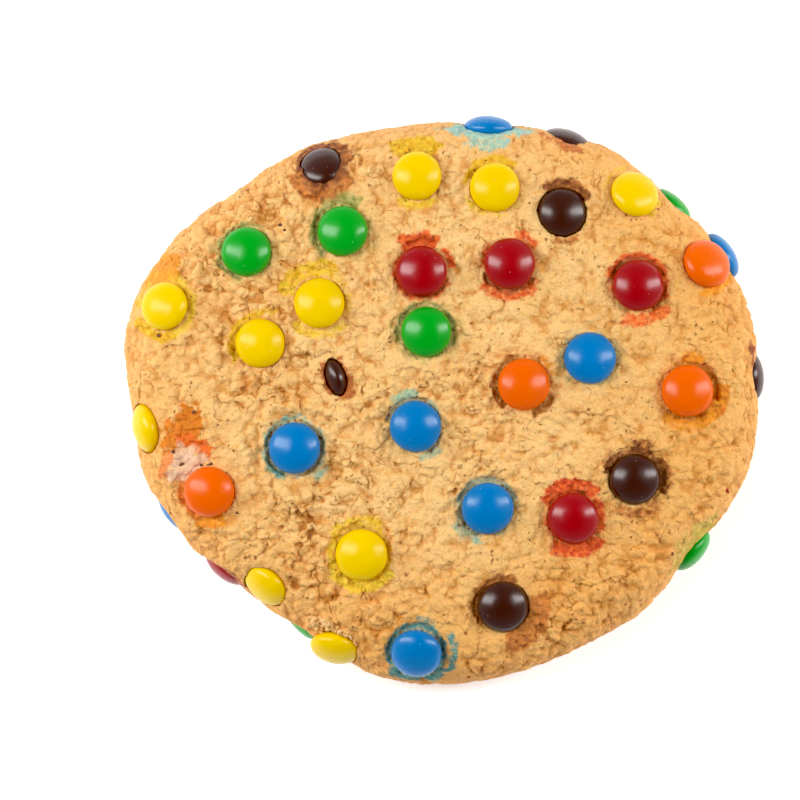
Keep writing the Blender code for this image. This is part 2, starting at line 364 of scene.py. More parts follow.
# Gaps baked open beside candies: candy, from bearing, to bearing, reach from its middle, depth
GAPS = (
    ("green_2", 60, 230, 0.0077, 0.0008),
    ("green_3", -30, 200, 0.0080, 0.0007),
    ("green_1", 90, 260, 0.0075, 0.0007),
    ("orange_3", -20, 60, 0.0090, 0.0013),
    ("orange_3", 60, 120, 0.0080, 0.0008),
    ("orange_3", 230, 300, 0.0082, 0.0008),
    ("orange_2", 95, 230, 0.0083, 0.0012),
    ("orange_2", 285, 340, 0.0090, 0.0012),
    ("orange_2", 50, 95, 0.0080, 0.0008),
    ("blue_3", 90, 330, 0.0079, 0.0012),
    ("blue_3", -30, 80, 0.0077, 0.0009),
    ("blue_2", 60, 170, 0.0079, 0.0009),
    ("blue_2", 290, 330, 0.0078, 0.0007),
    ("blue_4", 20, 170, 0.0084, 0.0008),
    ("blue_4", 180, 260, 0.0076, 0.0011),
    ("red_1", 60, 125, 0.0089, 0.0011),
    ("red_1", 215, 345, 0.0073, 0.0003),
    ("red_2", 200, 330, 0.0078, 0.0007),
    ("red_3", 20, 165, 0.0079, 0.0008),
    ("red_3", 300, 360, 0.0077, 0.0006),
    ("red_4", 60, 150, 0.0076, 0.0006),
    ("brown_3", -30, 60, 0.0086, 0.0010),
    ("brown_3", 60, 170, 0.0086, 0.0009),
    ("brown_2", 30, 120, 0.0084, 0.0008),
    ("yellow_7", 50, 150, 0.0086, 0.0009),
    ("yellow_7", 180, 330, 0.0073, 0.0005),
    ("yellow_4", -20, 60, 0.0076, 0.0003),
    ("yellow_6", 95, 215, 0.0076, 0.0007),
    ("brown_4", 60, 215, 0.0078, 0.0008),
    ("blue_5", 0, 200, 0.0077, 0.0009),
    ("yellow_2", 90, 160, 0.0078, 0.0006),
    ("yellow_1", 60, 130, 0.0078, 0.0005),
)

# Dye bled beside candies: candy, from bearing, to bearing, nearest and farthest reach, cover and
# depth of colour
STAINS = (
    ("brown_1", 0, 360, 0.0028, 0.0070, 0.98, 0.80),
    ("brown_1", 190, 340, 0.0062, 0.0094, 0.90, 0.20),
    ("brown_1", 8, 72, 0.0055, 0.0086, 0.90, 0.70),
    ("yellow_1", 48, 134, 0.0064, 0.0112, 0.95, 0.75),
    ("yellow_1", 232, 312, 0.0066, 0.0092, 0.80, 0.35),
    ("yellow_2", 95, 178, 0.0066, 0.0088, 0.85, 0.75),
    ("yellow_2", 45, 95, 0.0066, 0.0092, 0.90, 0.80),
    ("yellow_2", 195, 250, 0.0066, 0.0084, 0.70, 0.35),
    ("yellow_2", 255, 330, 0.0066, 0.0078, 0.60, 0.20),
    ("brown_2", 25, 130, 0.0062, 0.0092, 0.95, 0.55),
    ("brown_2", 250, 308, 0.0064, 0.0088, 0.75, 0.20),
    ("yellow_3", 105, 165, 0.0066, 0.0086, 0.50, 0.35),
    ("yellow_3", 300, 352, 0.0062, 0.0076, 0.75, 0.40),
    ("orange_1", 255, 355, 0.0062, 0.0084, 0.95, 0.20),
    ("green_1", 50, 262, 0.0064, 0.0082, 0.60, 0.40),
    ("green_1", 262, 410, 0.0064, 0.0074, 0.20, 0.00),
    ("green_2", 55, 235, 0.0064, 0.0090, 0.72, 0.60),
    ("green_2", 58, 100, 0.0064, 0.0104, 0.80, 0.60),
    ("red_1", 60, 130, 0.0066, 0.0108, 0.90, 0.35),
    ("red_1", 5, 50, 0.0068, 0.0094, 0.78, 0.45),
    ("red_1", 215, 345, 0.0068, 0.0084, 0.70, 0.30),
    ("red_1", 130, 215, 0.0064, 0.0076, 0.90, 0.50),
    ("red_2", 28, 78, 0.0067, 0.0096, 0.72, 0.45),
    ("red_2", 135, 185, 0.0065, 0.0078, 0.95, 0.50),
    ("red_2", -20, 28, 0.0067, 0.0075, 0.65, 0.45),
    ("red_2", 215, 330, 0.0075, 0.0102, 0.70, 0.30),
    ("green_3", -40, 190, 0.0064, 0.0082, 0.70, 0.30),
    ("green_3", 190, 320, 0.0064, 0.0076, 0.80, 0.55),
    ("red_3", 20, 165, 0.0074, 0.0092, 0.88, 0.45),
    ("red_3", 150, 212, 0.0068, 0.0082, 0.62, 0.35),
    ("red_3", -30, 22, 0.0068, 0.0084, 0.75, 0.45),
    ("red_3", 243, 322, 0.0074, 0.0110, 0.66, 0.25),
    ("yellow_4", -80, 62, 0.0066, 0.0086, 0.75, 0.10),
    ("yellow_4", 62, 185, 0.0066, 0.0100, 0.98, 0.70),
    ("yellow_4", 200, 292, 0.0066, 0.0094, 0.95, 0.85),
    ("yellow_6", 82, 218, 0.0066, 0.0088, 0.90, 0.80),
    ("yellow_6", 60, 90, 0.0076, 0.0104, 0.55, 0.50),
    ("yellow_5", 62, 168, 0.0070, 0.0118, 0.74, 0.50),
    ("yellow_5", 215, 322, 0.0066, 0.0098, 0.62, 0.20),
    ("yellow_5", -30, 60, 0.0066, 0.0092, 0.45, 0.15),
    ("blue_1", 0, 360, 0.0064, 0.0076, 0.45, 0.00),
    ("orange_2", 15, 62, 0.0072, 0.0092, 0.60, 0.20),
    ("orange_2", 112, 142, 0.0090, 0.0112, 0.45, 0.20),
    ("orange_3", 0, 360, 0.0074, 0.0082, 0.55, 0.45),
    ("orange_3", -62, 8, 0.0072, 0.0112, 0.98, 0.40),
    ("orange_3", 62, 102, 0.0082, 0.0104, 0.95, 0.35),
    ("orange_3", 225, 300, 0.0080, 0.0108, 0.66, 0.20),
    ("blue_2", 85, 132, 0.0074, 0.0104, 0.66, 0.05),
    ("blue_2", 33, 62, 0.0066, 0.0084, 0.80, 0.15),
    ("blue_2", 275, 322, 0.0074, 0.0098, 0.50, 0.00),
    ("blue_3", 108, 236, 0.0074, 0.0090, 0.62, 0.20),
    ("blue_3", 58, 112, 0.0076, 0.0092, 0.66, 0.20),
    ("blue_3", -35, 50, 0.0078, 0.0088, 0.60, 0.20),
    ("blue_3", 212, 252, 0.0070, 0.0094, 0.85, 0.50),
    ("blue_3", 300, 332, 0.0084, 0.0108, 0.62, 0.15),
    ("orange_4", 245, 302, 0.0066, 0.0098, 0.90, 0.35),
    ("orange_4", 150, 250, 0.0064, 0.0084, 0.95, 0.95),
    ("blue_4", 202, 262, 0.0074, 0.0102, 0.60, 0.10),
    ("blue_4", 275, 320, 0.0066, 0.0078, 0.50, 0.15),
    ("blue_4", 10, 180, 0.0066, 0.0082, 0.40, 0.00),
    ("red_4", 45, 152, 0.0066, 0.0108, 0.90, 0.60),
    ("red_4", 150, 232, 0.0066, 0.0078, 0.80, 0.70),
    ("red_4", -30, 42, 0.0066, 0.0088, 0.85, 0.45),
    ("red_4", 232, 325, 0.0066, 0.0108, 0.90, 0.55),
    ("brown_3", 125, 165, 0.0072, 0.0100, 0.45, 0.75),
    ("brown_3", 58, 98, 0.0072, 0.0108, 0.78, 0.65),
    ("brown_3", -32, 48, 0.0084, 0.0100, 0.70, 0.50),
    ("brown_3", 232, 322, 0.0072, 0.0106, 0.62, 0.35),
    ("yellow_7", 138, 218, 0.0068, 0.0092, 0.78, 0.35),
    ("yellow_7", 55, 142, 0.0084, 0.0104, 0.75, 0.30),
    ("yellow_7", 212, 332, 0.0068, 0.0104, 0.85, 0.25),
    ("yellow_7", -30, 55, 0.0066, 0.0078, 0.95, 0.95),
    ("brown_4", 58, 218, 0.0068, 0.0088, 0.78, 0.30),
    ("brown_4", -88, 22, 0.0068, 0.0130, 0.88, 0.00),
    ("blue_5", 0, 360, 0.0064, 0.0082, 0.90, 0.95),
    ("blue_5", -32, 32, 0.0092, 0.0108, 0.85, 0.90),
    ("blue_5", 215, 285, 0.0066, 0.0098, 0.92, 0.90),
    ("blue_5", 290, 330, 0.0068, 0.0098, 0.85, 0.80),
    ("blue_5", 60, 92, 0.0084, 0.0100, 0.60, 0.55),
)

# Creases and slits in the crust: half width, depth and the places each runs through
CREASES = (
    (
        0.0007,
        0.0008,
        (-0.0269, -0.0050, -0.0237, -0.0042, -0.0223, -0.0021, -0.0178, 0.0005, -0.0154, 0.0016),
    ),
    (0.0006, 0.0006, (-0.0226, 0.0011, -0.0221, 0.0037, -0.0213, 0.0056, -0.0194, 0.0056)),
    (0.0006, 0.0006, (-0.0072, 0.0021, -0.0056, 0.0034, -0.0048, 0.0050)),
    (0.0005, 0.0006, (-0.0048, 0.0050, -0.0016, 0.0053, 0.0010, 0.0040, 0.0045, 0.0024)),
    (0.0004, 0.0005, (0.0052, -0.0013, 0.0068, -0.0027, 0.0090, -0.0027)),
    (0.0005, 0.0006, (-0.0194, -0.0138, -0.0181, -0.0154, -0.0154, -0.0167, -0.0091, -0.0167)),
    (
        0.0006,
        0.0006,
        (0.0103, -0.0143, 0.0084, -0.0167, 0.0058, -0.0212, 0.0034, -0.0231, 0.0010, -0.0257),
    ),
    (0.0004, 0.0005, (-0.0218, -0.0186, -0.0205, -0.0218, -0.0210, -0.0239)),
    (0.0004, 0.0005, (0.0111, -0.0032, 0.0132, -0.0045, 0.0159, -0.0034, 0.0204, -0.0064)),
    (0.0006, 0.0007, (0.0328, -0.0029, 0.0350, -0.0037, 0.0408, -0.0042, 0.0429, -0.0027)),
    (0.0004, 0.0004, (0.0217, -0.0207, 0.0238, -0.0226, 0.0265, -0.0236)),
    (0.0004, 0.0005, (0.0111, -0.0183, 0.0132, -0.0196, 0.0159, -0.0186)),
    (0.0004, 0.0005, (-0.0690, 0.0056, -0.0664, 0.0064, -0.0627, 0.0058, -0.0590, 0.0064)),
    (0.0007, 0.0008, (-0.0510, 0.0037, -0.0497, 0.0045, -0.0486, 0.0069)),
    (0.0004, 0.0004, (-0.0547, 0.0027, -0.0526, 0.0032, -0.0510, 0.0037)),
    (0.0005, 0.0006, (-0.0454, 0.0101, -0.0430, 0.0106, -0.0406, 0.0114, -0.0375, 0.0122)),
    (0.0004, 0.0004, (-0.0391, 0.0011, -0.0377, 0.0024, -0.0361, 0.0019)),
    (0.0005, 0.0006, (-0.0430, -0.0257, -0.0414, -0.0287, -0.0412, -0.0313, -0.0441, -0.0345)),
    (
        0.0006,
        0.0008,
        (-0.0393, -0.0305, -0.0364, -0.0316, -0.0351, -0.0342, -0.0356, -0.0363, -0.0396, -0.0390),
    ),
    (0.0004, 0.0005, (-0.0552, -0.0379, -0.0534, -0.0371, -0.0489, -0.0374, -0.0470, -0.0395)),
    (0.0012, 0.0010, (-0.0417, -0.0478, -0.0399, -0.0497)),
    (0.0004, 0.0005, (-0.0409, -0.0406, -0.0406, -0.0438)),
    (0.0005, 0.0007, (-0.0493, 0.0050, -0.0489, 0.0056)),
)
CREASE_LIP = 0.35  # the crust swells beside a crease by this share of its depth

PALE_CRUST_HEX = ("F4BC6E", "FAD18E")
GOLDEN_CRUST_HEX = ("EEAB54", "F5C072")
GAP_HEX = {  # the torn crumb in the gaps: the candy's dye with painted shade of the gap
    "yellow": "D4AA38",
    "red": "A85C34",
    "blue": "BCAC8C",
    "green": "AEA468",
    "orange": "B4742E",
    "brown": "8A4C24",
}
DYE_HEX = {  # pale and deep
    "yellow": ("F8D43C", "E2AA06"),
    "red": ("FF7628", "BE1202"),
    "blue": ("AECAA4", "2C8C8E"),
    "green": ("D8C67C", "888C38"),
    "orange": ("F4A21C", "CC5C06"),
    "brown": ("D8843A", "6A2A0C"),
}

# Broader stains: colour, across, up, half length, half width, turn, cover
PATCHES = (
    ("A0CEC0", 0.0117, 0.0728, 0.0125, 0.0026, 0, 0.85),
    ("A8D0BC", 0.0112, 0.0690, 0.0064, 0.0030, 0, 0.70),
    ("D6BC60", 0.0672, -0.0385, 0.0095, 0.0050, 60, 0.50),
    ("B06040", 0.0822, 0.0118, 0.0044, 0.0010, 97, 0.70),
    ("A85C48", -0.0587, -0.0473, 0.0070, 0.0018, -33, 0.75),
    ("EC9628", -0.0755, 0.0350, 0.0065, 0.0046, 60, 0.85),
    ("DE7C0C", -0.0702, -0.0082, 0.0090, 0.0052, 60, 0.95),
    ("EE6C14", -0.0665, -0.0122, 0.0066, 0.0024, -28, 0.95),
    ("F4C8A4", -0.0695, -0.0170, 0.0062, 0.0052, 30, 0.85),
    ("EE8A44", -0.0748, -0.0172, 0.0048, 0.0014, 65, 0.90),
    ("D0783A", 0.0323, 0.0683, 0.0068, 0.0019, -24, 0.90),
    ("E4A04C", -0.0540, 0.0375, 0.0018, 0.0014, 0, 0.55),
    ("C06A30", -0.0292, 0.0060, 0.0068, 0.0044, 111, 0.95),
    ("CCAE44", 0.0672, -0.0395, 0.0100, 0.0028, 52, 0.85),
)


def smooth_step(low, high, value):
    """Rises smoothly from 0 to 1 while the value goes from low to high."""
    share = np.clip((value - low) / (high - low), 0, 1)
    return share * share * (3 - 2 * share)


def widest_radius(bearing):
    """Radius of the outline at a bearing, on a smooth curve through the OUTLINE radii."""
    radii = np.array(OUTLINE)
    place = bearing / OUTLINE_STEP
    first = np.floor(place).astype(int)
    t = place - first
    before, start, end, after = (radii[(first + i) % len(radii)] for i in (-1, 0, 1, 2))
    bend = 2 * before - 5 * start + 4 * end - after
    return start + 0.5 * t * (end - before + t * (bend + t * (3 * (start - end) + after - before)))


def dough_form(across, up):
    """Points of the smooth dough form for places in the square from -1 to 1.

    The square's middle is the top's middle, and its border is the underside's edge.
    """
    run = np.maximum(abs(across), abs(up))
    sideways = 45 * up / np.where(across == 0, 1, across) + np.where(across < 0, 180, 0)
    lengthways = 90 - 45 * across / np.where(up == 0, 1, up) + np.where(up < 0, 180, 0)
    bearing = np.where(abs(across) > abs(up), sideways, lengthways)
    widest = widest_radius(bearing)
    face = widest - SHOULDER_RUN
    shoulder = math.pi / 4 * (SHOULDER_RUN + SHOULDER_RISE)
    foot = math.pi / 4 * (FOOT_INSET + WIDEST_HEIGHT)
    along = run * (face + shoulder + foot)
    round_off = np.clip((along - face) / shoulder, 0, 1) * math.pi / 2
    tuck = np.clip((along - face - shoulder) / foot, 0, 1) * math.pi / 2
    radius = np.minimum(along, face) + SHOULDER_RUN * np.sin(round_off) - FOOT_INSET * (1 - np.cos(tuck))
    height = WIDEST_HEIGHT * (1 - np.sin(tuck)) + SHOULDER_RISE * np.cos(round_off)
    height += np.where(tuck > 0, 0, DOME_RISE * (1 - (radius / widest) ** 2))
    angle = np.radians(bearing)
    return np.stack([radius * np.cos(angle), radius * np.sin(angle), height], axis=1)


def noise_at(places, span, kind=noise.noise):
    """Smooth noise at each place, in waves about as long as the span."""
    return np.array([kind(place / span) for place in places])


def lumps(place):
    """The crackled crust: plates with soft edges, parted more deeply in some patches."""
    warp = noise.noise_vector(place / LUMP_SPAN) * LUMP_WARP
    (near, next_near, *_), (centre, *_) = noise.voronoi((place + warp) / LUMP_SPAN)
    parting = 1 - smooth_step(0, 0.45, next_near - near)
    deep = smooth_step(-0.25, 0.35, noise.noise(place / CRAG_PATCH + CRAG_START))
    step = LUMP_STEP * noise.cell(centre * 7.3)
    return step - LUMP_HEIGHT * parting * (0.35 + 0.65 * deep)


def arc_cover(points, candy, start, end, near, far, soft):
    """How far points lie in an arc beside a candy, 0 to 1, seen from above and not far below it."""
    away = points - candy_places[f"candy_{candy}"][0]
    reach = np.hypot(away[:, 0], away[:, 1])
    bearing = np.degrees(np.arctan2(away[:, 1], away[:, 0]))
    off = abs((bearing - (start + end) / 2 + 180) % 360 - 180) - (end - start) / 2
    side = 1 - smooth_step(-soft, soft, np.radians(off) * reach)
    side *= smooth_step(-DYE_DROP, -DYE_DROP / 2, away[:, 2])
    outside = smooth_step(near - soft, near + soft, reach)
    return side * outside * (1 - smooth_step(far - soft, far + soft, reach))


def off_crease(points, run):
    """How far points are, seen from above, from a line that runs through the places."""
    places = np.array(run).reshape(-1, 2)
    nearest = np.full(len(points), 1.0)
    for start, end in zip(places, places[1:]):
        away = points[:, :2] - start
        along = np.clip(away @ (end - start) / ((end - start) @ (end - start)), 0, 1)
        nearest = np.minimum(nearest, np.linalg.norm(away - along[:, None] * (end - start), axis=1))
    return nearest


# The smooth form, as a grid of squares over the top and the side
noise.seed_set(NOISE_SEED)
steps = np.linspace(-1, 1, CRUST_GRID + 1)
across, up = np.meshgrid(steps, steps)
form = dough_form(across.ravel(), up.ravel())
corner = np.arange((CRUST_GRID + 1) * CRUST_GRID).reshape(CRUST_GRID, CRUST_GRID + 1)
corner = corner[:, :-1].ravel()
quads = np.stack([corner, corner + 1, corner + CRUST_GRID + 2, corner + CRUST_GRID + 1], axis=1)
crust = bpy.data.meshes.new("crust")
crust.from_pydata(form, [], quads)
normals = read_vectors(crust.vertices, "normal")

# Its relief: swells and lumps, a dip round each candy, the torn gaps and the creases
nearest = np.full(len(form), 1.0)
for middle, _, diameter in candy_places.values():
    nearest = np.minimum(nearest, np.linalg.norm(form - middle, axis=1) - diameter / 2)
clear = smooth_step(0, WELL_WIDTH, nearest)
above_floor = smooth_step(0, FLOOR_FADE, form[:, 2])
rim_share = 1 - RIM_SMOOTHNESS * (1 - smooth_step(RIM_LOW, RIM_HIGH, form[:, 2]))
vectors = [Vector(point) for point in form]
swells = SWELL_HEIGHT * noise_at(vectors, SWELL_SPAN)
crackle = rim_share * np.array([lumps(place) for place in vectors])
rises = swells + above_floor * (clear * crackle - (1 - clear) * WELL_DEPTH)
span, throw = GAP_RAGS
ragged = throw * noise_at(vectors, span)[:, None]
for candy, start, end, far, depth in GAPS:
    rises -= depth * arc_cover(form + ragged, candy, start, end, 0, far, GAP_SOFTNESS)
crease_shade = np.zeros(len(form))
span, throw = CREASE_KINKS
crooked = throw * noise_at(vectors, span, noise.noise_vector)
breaks = smooth_step(-0.30, 0.10, noise_at(vectors, CREASE_BREAKS_SPAN))
for width, depth, run in CREASES:
    off = off_crease(form + crooked, run)
    parted = (0.3 + 0.7 * breaks) * (1 - smooth_step(0, width, off))
    swelled = smooth_step(0.5 * width, 1.5 * width, off)
    swelled *= 1 - smooth_step(2 * width, 4 * width, off)
    rises += clear * depth * (CREASE_LIP * swelled - parted)
    # how much painted shade each crease gets in the material
    crease_shade = np.maximum(crease_shade, parted * depth / CREASE_FULL_SHADE_DEPTH)
surface = form + normals * rises[:, None]
surface[:, 2] = np.maximum(surface[:, 2], 0)
crust.vertices.foreach_set("co", surface.ravel())

# What the crust's nodes and its material read: how open, craggy and golden each place is, and how much
# painted shade its creases get
rough = above_floor * rim_share * (0.4 + 0.6 * clear)
store(crust, "open", rough)
lean = CRAG_SLANT * (0.4 * form[:, 0] + form[:, 1])
patches = np.array([noise.noise(place / CRAG_PATCH + CRAG_START) for place in vectors])
crags = smooth_step(-0.25, 0.50, patches - lean)
store(crust, "crags", crags)
outward = np.hypot(form[:, 0] - PALE_MIDDLE[0], form[:, 1] - PALE_MIDDLE[1])
golden = smooth_step(PALE_REACH, GOLDEN_REACH, outward)
store(crust, "golden", golden)
store(crust, "crease_shade", np.minimum(crease_shade, 1))

bm = bmesh.new()
bm.from_mesh(crust)
bmesh.ops.holes_fill(bm, edges=[edge for edge in bm.edges if edge.is_boundary])
bmesh.ops.recalc_face_normals(bm, faces=bm.faces)
bm.to_mesh(crust)
bm.free()
crust.shade_smooth()


def crust_pattern(add, place, crags):
    """The crumb's fine form, the same for the mesh and its material, each part from 0 to 1."""
    wander = add("ShaderNodeTexNoise", {"Vector": place, "Scale": WANDER, "Detail": 2})
    bend = add(
        "ShaderNodeVectorMath",
        {0: wander.outputs["Color"], 1: (0.5, 0.5, 0.5)},
        operation="SUBTRACT",
    )
    shift = add("ShaderNodeVectorMath", {0: bend, "Scale": WANDER_THROW}, operation="SCALE")
    warped = add("ShaderNodeVectorMath", {0: place, 1: shift}, operation="ADD")
    lumpy = add("ShaderNodeMath", {0: crags, 1: 0.55, 2: 0.45}, operation="MULTIPLY_ADD")
    seams = add("ShaderNodeTexVoronoi", {"Vector": warped, "Scale": PLATES}, feature="DISTANCE_TO_EDGE")
    inward = add("ShaderNodeMapRange", {"Value": seams, 1: 0, 2: 0.4, 3: 0, 4: 1})
    drift = add("ShaderNodeTexNoise", {"Vector": place, "Scale": SMOOTHED, "Detail": 2})
    calm = add("ShaderNodeMath", {0: crags, 1: -0.10, 2: drift}, operation="MULTIPLY_ADD")
    merged = add("ShaderNodeMapRange", {"Value": calm, 1: 0.42, 2: 0.58, 3: 0, 4: 1})
    parted = add("ShaderNodeMath", {0: inward, 1: merged}, operation="MAXIMUM")
    dome = add("ShaderNodeMath", {0: parted, 1: 0.5}, operation="POWER")
    cell = add("ShaderNodeTexVoronoi", {"Vector": warped, "Scale": PLATES})
    uneven = add("ShaderNodeSeparateXYZ", {0: cell.outputs["Color"]})
    lump = add("ShaderNodeMath", {0: uneven, 1: 0.60, 2: dome}, operation="MULTIPLY_ADD")
    puff = add(
        "ShaderNodeTexVoronoi",
        {"Vector": warped, "Scale": BEADS, "Smoothness": 0.35},
        feature="SMOOTH_F1",
    )
    swollen = add("ShaderNodeMapRange", {"Value": puff, 1: 0.1, 2: 0.7, 3: 1, 4: 0})
    even = add("ShaderNodeMath", {0: merged, 1: 0.5}, operation="MULTIPLY")
    knob = add("ShaderNodeMath", {0: swollen, 1: even}, operation="MAXIMUM")
    bead_cell = add("ShaderNodeTexVoronoi", {"Vector": warped, "Scale": BEADS})
    bead_step = add("ShaderNodeSeparateXYZ", {0: bead_cell.outputs["Color"]})
    bead = add("ShaderNodeMath", {0: bead_step, 1: 0.35, 2: knob}, operation="MULTIPLY_ADD")
    shelf = add(
        "ShaderNodeTexNoise",
        {"Vector": warped, "Scale": SHELVES, "Detail": 3, "Roughness": 0.55},
    )
    above = add("ShaderNodeMath", {0: shelf, 1: 0.5}, operation="SUBTRACT")
    ledge = add("ShaderNodeMapRange", {"Value": above, 1: 0, 2: 0.012, 3: 0, 4: 1})
    foot = add("ShaderNodeMath", {0: above, 1: -0.004, 2: 0.006}, operation="COMPARE")
    seam = add("ShaderNodeMapRange", {"Value": seams, 1: 0, 2: 0.07, 3: 1, 4: 0})
    apart = add("ShaderNodeMath", {0: 1.0, 1: merged}, operation="SUBTRACT")
    open_seam = add("ShaderNodeMath", {0: seam, 1: apart}, operation="MULTIPLY")
    lines = add("ShaderNodeMath", {0: open_seam, 1: foot}, operation="MAXIMUM")
    where = add("ShaderNodeTexNoise", {"Vector": place, "Scale": CRACKED, "Detail": 2})
    craggier = add("ShaderNodeMath", {0: crags, 1: 0.08, 2: where}, operation="MULTIPLY_ADD")
    broken = add("ShaderNodeMapRange", {"Value": craggier, 1: 0.54, 2: 0.65, 3: 0, 4: 1})
    crack = add("ShaderNodeMath", {0: lines, 1: broken}, operation="MULTIPLY")
    return {"lump": lump, "bead": bead, "ledge": ledge, "crack": crack, "lumpy": lumpy}


def crust_tree():
    """Raises the crumb's lumps and ledges and opens its cracks, and keeps each old place as 'raw'."""
    tree, sizes, end = geometry_tree(
        "crackled_crust",
        {"Lumps": 0.001, "Beads": 0.001, "Ledges": 0.001, "Cracks": 0.001, "Grain": 0.001},
    )
    add = partial(node, tree)
    place = add("GeometryNodeInputPosition")
    crags = add("GeometryNodeInputNamedAttribute", {"Name": "crags"}, data_type="FLOAT")
    pattern = crust_pattern(add, place, crags)
    grain = add("ShaderNodeTexNoise", {"Vector": place, "Scale": GRAIN, "Detail": 3, "Roughness": 0.5})
    height = add("ShaderNodeMath", {0: pattern["crack"], 1: sizes["Cracks"]}, operation="MULTIPLY")
    for part, size, level, share in (
        (pattern["lump"], "Lumps", 1.0, pattern["lumpy"]),
        (pattern["bead"], "Beads", 0.6, 1.0),
        (pattern["ledge"], "Ledges", 0.5, 1.0),
        (grain, "Grain", 0.5, 1.0),
    ):
        above = add("ShaderNodeMath", {0: part, 1: level}, operation="SUBTRACT")
        depth = add("ShaderNodeMath", {0: sizes[size], 1: share}, operation="MULTIPLY")
        height = add("ShaderNodeMath", {0: above, 1: depth, 2: height}, operation="MULTIPLY_ADD")
    opened = add("GeometryNodeInputNamedAttribute", {"Name": "open"}, data_type="FLOAT")
    limited = add("ShaderNodeMath", {0: height, 1: opened}, operation="MULTIPLY")
    normal = add("GeometryNodeInputNormal")
    offset = add("ShaderNodeVectorMath", {0: normal, "Scale": limited}, operation="SCALE")
    level = add("ShaderNodeSeparateXYZ", {0: place})
    lifted = add("ShaderNodeMath", {0: level.outputs["Z"], 1: LIFTED}, operation="GREATER_THAN")
    kept = sizes["Geometry"]
    for name, value, kind in (("raw", place, "FLOAT_VECTOR"), ("rise", limited, "FLOAT")):
        stored = {"Geometry": kept, "Name": name, "Value": value}
        kept = add("GeometryNodeStoreNamedAttribute", stored, data_type=kind, domain="POINT")
    moved = add("GeometryNodeSetPosition", {"Geometry": kept, "Selection": lifted, "Offset": offset})
    smooth = add("GeometryNodeSetShadeSmooth", {"Geometry": moved})
    feed(end, {"Geometry": smooth})
    return tree


# How high each part of the crumb's pattern rises, in metres; cracks go in
crust_sizes = {"Lumps": 0.0011, "Beads": 0.0008, "Ledges": 0.0004, "Cracks": -0.0003, "Grain": 0.0006}
dough = grown_by_nodes("dough_crust", crust, crust_tree(), crust_sizes)

# The candies' sockets, cut a hair wider than the candies, with a ragged edge
sockets = bpy.data.collections.new("sockets")
bpy.context.scene.collection.children.link(sockets)
socket_shape = {**SHELL_SHAPE, "Growth": 2 * SOCKET_GAP, "Raggedness": SOCKET_RAGGEDNESS}
for colour, seats in candy_seats.items():
    socket = grown_by_nodes(f"socket_{colour}", seats, lentils, socket_shape)
    bpy.context.scene.collection.objects.unlink(socket)
    sockets.objects.link(socket)
cut = dough.modifiers.new("sockets", "BOOLEAN")
cut.operation = "DIFFERENCE"
cut.solver = "MANIFOLD"
cut.operand_type = "COLLECTION"
cut.collection = sockets
thin = dough.modifiers.new("thin", "DECIMATE")
thin.ratio = CRUST_TRIANGLES / (2 * CRUST_GRID**2)
evaluated = dough.evaluated_get(bpy.context.evaluated_depsgraph_get())
baked = bpy.data.meshes.new_from_object(evaluated)
dough.modifiers.clear()
dough.data = baked
for cutter in list(sockets.objects):
    bpy.data.objects.remove(cutter)
bpy.data.collections.remove(sockets)

# The cut faces took no old place with them, so they get the one that they have
points = read_vectors(baked.vertices, "co")
raw = read_vectors(baked.attributes["raw"].data, "vector")
strayed = np.linalg.norm(raw - points, axis=1) > STRAYED
raw[strayed] = points[strayed]
baked.attributes["raw"].data.foreach_set("vector", raw.ravel())


def laid_over(under, colour, cover):
    """Colours with alpha after another colour is laid over them."""
    alpha = cover + under[:, 3] * (1 - cover)
    share = np.where(alpha > 0, cover / np.maximum(alpha, 1e-6), 0)[:, None]
    return np.column_stack([under[:, :3] * (1 - share) + colour[..., :3] * share, alpha])


vectors = [Vector(point) for point in points]
places = points.copy()
for span, throw in (DYE_FRAYS, DYE_TATTERS):
    places += throw * noise_at(vectors, span, noise.noise_vector)
blotches = noise_at(vectors, DYE_BLOTCH_SPAN)
streaky = noise_at(vectors, STAIN_STREAK_SPAN)
dye_and_gap_shade = np.zeros((len(points), 4))
torn = np.zeros(len(points))
# the gaps take their torn-crumb colour: partly the candy's dye, partly painted shade of the gap
for candy, start, end, far, _ in GAPS:
    share = arc_cover(places, candy, start, end, 0, far, TORN_SOFTNESS)
    dye_and_gap_shade = laid_over(dye_and_gap_shade, np.array(linear(GAP_HEX[candy.split("_")[0]])), 0.75 * share)
    torn = np.maximum(torn, share)
for candy, start, end, near, far, cover, depth in STAINS:
    pale, deep = (np.array(linear(shade)) for shade in DYE_HEX[candy.split("_")[0]])
    shade = pale + (deep - pale) * np.clip(depth + 0.9 * blotches, 0, 1)[:, None]
    share = arc_cover(places, candy, start, end, near, far, STAIN_SOFTNESS)
    dye_and_gap_shade = laid_over(dye_and_gap_shade, shade, cover * share)
for shade, x, y, length, width, turn, cover in PATCHES:
    away = places[:, :2] - (x, y)
    angle = math.radians(turn)
    along = away @ (math.cos(angle), math.sin(angle))
    beside = away @ (-math.sin(angle), math.cos(angle))
    spread = np.hypot(along / length, beside / width) + 0.4 * streaky + 0.3 * blotches
    on_top = smooth_step(WIDEST_HEIGHT, 1.5 * WIDEST_HEIGHT, points[:, 2])
    dye_and_gap_shade = laid_over(dye_and_gap_shade, np.array(linear(shade)), on_top * cover * (1 - smooth_step(0.7, 1.1, spread)))
store(baked, "dye_and_gap_shade", dye_and_gap_shade, "FLOAT_COLOR", "color")
store(baked, "torn", torn)


